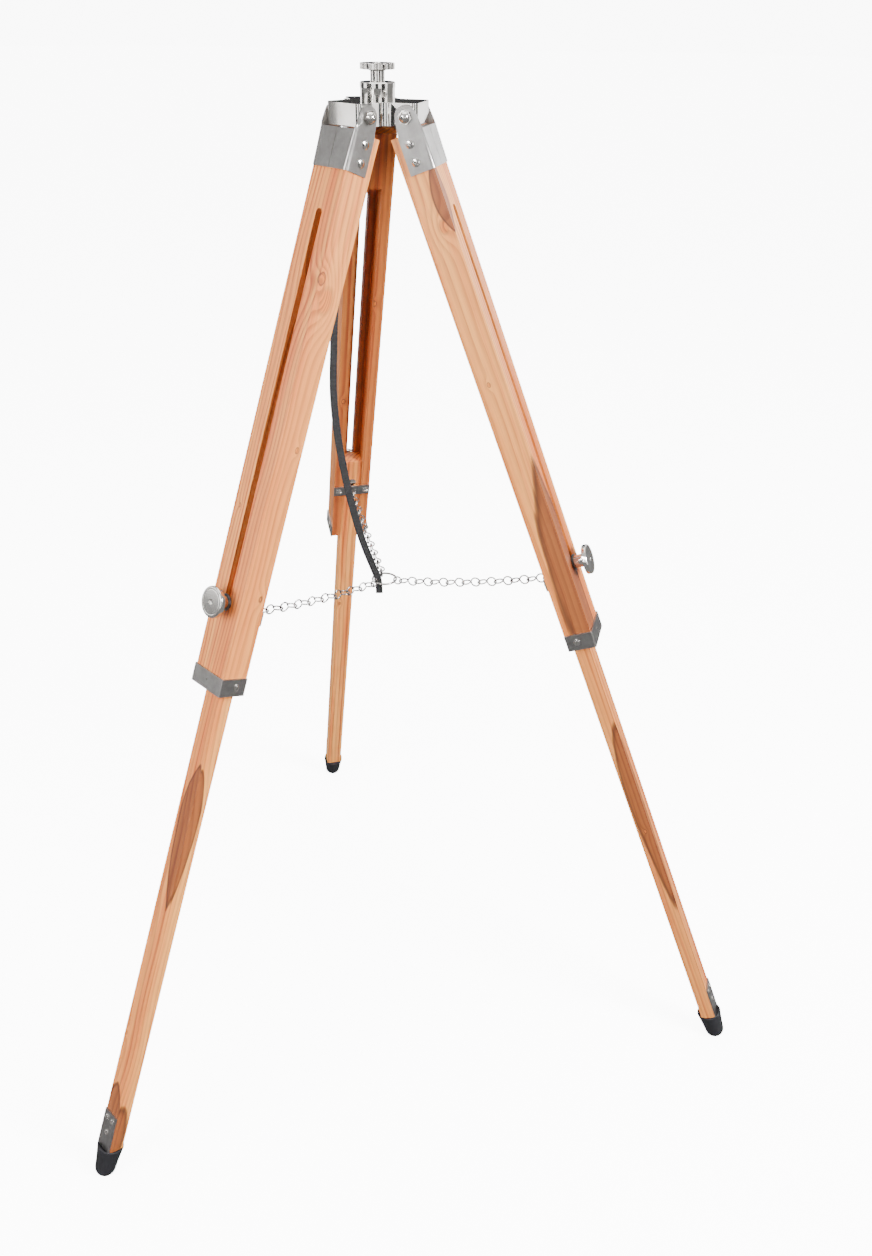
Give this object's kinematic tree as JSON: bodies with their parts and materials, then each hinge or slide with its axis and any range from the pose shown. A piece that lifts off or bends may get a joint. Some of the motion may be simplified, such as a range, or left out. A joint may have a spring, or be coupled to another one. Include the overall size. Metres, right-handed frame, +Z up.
{
  "type": "wooden field tripod",
  "caption": "Wooden field tripod with a chromed folding head, sliding two-part legs with clamp knobs, a chain spreader and rubber boots.",
  "frame": {"origin": "on the floor, at the middle of the stance's bounding box; the head's axis stands 112.5 mm to -Y of it", "axes": "+Z up along the neck; +Y towards the rear leg; +X to the right when the two front legs face the viewer"},
  "size_m": [0.8038, 0.6992, 1.1352],
  "materials": {
    "chrome": "polished nickel-chrome plate with light brushing",
    "wood": "clear satin varnish on knotty light timber",
    "pale_wood": "clear satin varnish on pale timber with dark heartwood",
    "steel": "dull grey steel",
    "rubber": "moulded black rubber",
    "strap": "woven black webbing"
  },
  "bodies": {
    "head": {"head_hub": "chrome", "head_drum": "chrome", "centre_stud": "chrome", "set_screw": "steel", "strap_anchor": "chrome", "tie_strap": "strap"},
    "thumb_lifter": {"thumb_washer": "steel"},
    "thumb_nut": {"thumb_nut": "chrome"},
    "spreader_ring": {"spreader_ring": "chrome"},
    "left_upper": {"left_upper_leg": "wood", "left_cheek_plate_a": "chrome", "left_cheek_plate_b": "chrome", "left_hinge_bolt": "chrome", "left_hinge_nut": "chrome", "left_end_band": "chrome", "left_bridge_strap": "chrome", "left_upper_screws": "chrome", "left_chain_eye": "chrome"},
    "left_lower": {"left_lower_leg": "pale_wood", "left_foot_plate": "chrome", "left_foot_screws": "chrome", "left_rubber_boot": "rubber", "left_clamp_bolt": "chrome", "left_clamp_washer": "steel"},
    "left_knob": {"left_clamp_knob": "chrome"},
    "left_chain": {"left_chain": "chrome"},
    "right_upper": {"right_upper_leg": "wood", "right_cheek_plate_a": "chrome", "right_cheek_plate_b": "chrome", "right_hinge_bolt": "chrome", "right_hinge_nut": "chrome", "right_end_band": "chrome", "right_bridge_strap": "chrome", "right_upper_screws": "chrome", "right_chain_eye": "chrome"},
    "right_lower": {"right_lower_leg": "pale_wood", "right_foot_plate": "chrome", "right_foot_screws": "chrome", "right_rubber_boot": "rubber", "right_clamp_bolt": "chrome", "right_clamp_washer": "steel"},
    "right_knob": {"right_clamp_knob": "chrome"},
    "right_chain": {"right_chain": "chrome"},
    "rear_upper": {"rear_upper_leg": "wood", "rear_cheek_plate_a": "chrome", "rear_cheek_plate_b": "chrome", "rear_hinge_bolt": "chrome", "rear_hinge_nut": "chrome", "rear_end_band": "chrome", "rear_bridge_strap": "chrome", "rear_upper_screws": "chrome", "rear_chain_eye": "chrome"},
    "rear_lower": {"rear_lower_leg": "pale_wood", "rear_foot_plate": "chrome", "rear_foot_screws": "chrome", "rear_rubber_boot": "rubber", "rear_clamp_bolt": "chrome", "rear_clamp_washer": "steel"},
    "rear_knob": {"rear_clamp_knob": "chrome"},
    "rear_chain": {"rear_chain": "chrome"}
  },
  "joints": [
    {"name": "thumb_nut_lift", "type": "slide", "parent": "head", "child": "thumb_lifter", "axis": [0, 0, 1], "range_m": [0, 0.06]},
    {"name": "thumb_nut_turn", "type": "hinge", "parent": "thumb_lifter", "child": "thumb_nut", "pos_m": [0, -0.11254, 1.13213], "axis": [0, 0, 1], "continuous": true},
    {"name": "left_leg_fold", "type": "hinge", "parent": "head", "child": "left_upper", "pos_m": [-0.02858, -0.12904, 1.09363], "axis": [-0.5, 0.866, 0], "range_deg": [-17, 0]},
    {"name": "left_leg_slide", "type": "slide", "parent": "left_upper", "child": "left_lower", "axis": [0.3174, 0.1833, 0.9304], "range_m": [0, 0.35]},
    {"name": "left_knob_turn", "type": "hinge", "parent": "left_lower", "child": "left_knob", "pos_m": [-0.19149, -0.2231, 0.67011], "axis": [-0.8058, -0.4652, 0.3665], "range_deg": [0, 360]},
    {"name": "left_chain_swing", "type": "hinge", "parent": "left_upper", "child": "left_chain", "pos_m": [-0.15679, -0.20307, 0.64304], "axis": [-0.5, 0.866, 0], "range_deg": [0, 88.1], "deforming": ["left_chain"]},
    {"name": "right_leg_fold", "type": "hinge", "parent": "head", "child": "right_upper", "pos_m": [0.02858, -0.12904, 1.09363], "axis": [-0.5, -0.866, 0], "range_deg": [-17, 0]},
    {"name": "right_leg_slide", "type": "slide", "parent": "right_upper", "child": "right_lower", "axis": [-0.3174, 0.1833, 0.9304], "range_m": [0, 0.35]},
    {"name": "right_knob_turn", "type": "hinge", "parent": "right_lower", "child": "right_knob", "pos_m": [0.19149, -0.2231, 0.67011], "axis": [0.8058, -0.4652, 0.3665], "range_deg": [0, 360]},
    {"name": "right_chain_swing", "type": "hinge", "parent": "right_upper", "child": "right_chain", "pos_m": [0.15679, -0.20307, 0.64304], "axis": [-0.5, -0.866, 0], "range_deg": [0, 88.1], "deforming": ["right_chain"]},
    {"name": "rear_leg_fold", "type": "hinge", "parent": "head", "child": "rear_upper", "pos_m": [0, -0.07954, 1.09363], "axis": [1, 0, 0], "range_deg": [-17, 0]},
    {"name": "rear_leg_slide", "type": "slide", "parent": "rear_upper", "child": "rear_lower", "axis": [0, -0.3665, 0.9304], "range_m": [0, 0.35]},
    {"name": "rear_knob_turn", "type": "hinge", "parent": "rear_lower", "child": "rear_knob", "pos_m": [0, 0.10857, 0.67011], "axis": [0, 0.9304, 0.3665], "range_deg": [0, 360]},
    {"name": "rear_chain_swing", "type": "hinge", "parent": "rear_upper", "child": "rear_chain", "pos_m": [0, 0.0685, 0.64304], "axis": [1, 0, 0], "range_deg": [0, 88.1], "deforming": ["rear_chain"]},
    {"name": "ring_drop", "type": "slide", "parent": "head", "child": "spreader_ring", "axis": [0, 0, 1], "range_m": [-0.1636, 0], "deforming": ["tie_strap"]}
  ],
  "couplings": [
    {"joint": "left_chain_swing", "follows": "left_leg_fold", "ratio": -5.1509},
    {"joint": "right_leg_fold", "follows": "left_leg_fold", "ratio": 1},
    {"joint": "right_chain_swing", "follows": "left_leg_fold", "ratio": -5.1509},
    {"joint": "rear_leg_fold", "follows": "left_leg_fold", "ratio": 1},
    {"joint": "rear_chain_swing", "follows": "left_leg_fold", "ratio": -5.1509},
    {"joint": "ring_drop", "follows": "left_leg_fold", "m_per_rad": 0.54975}
  ]
}
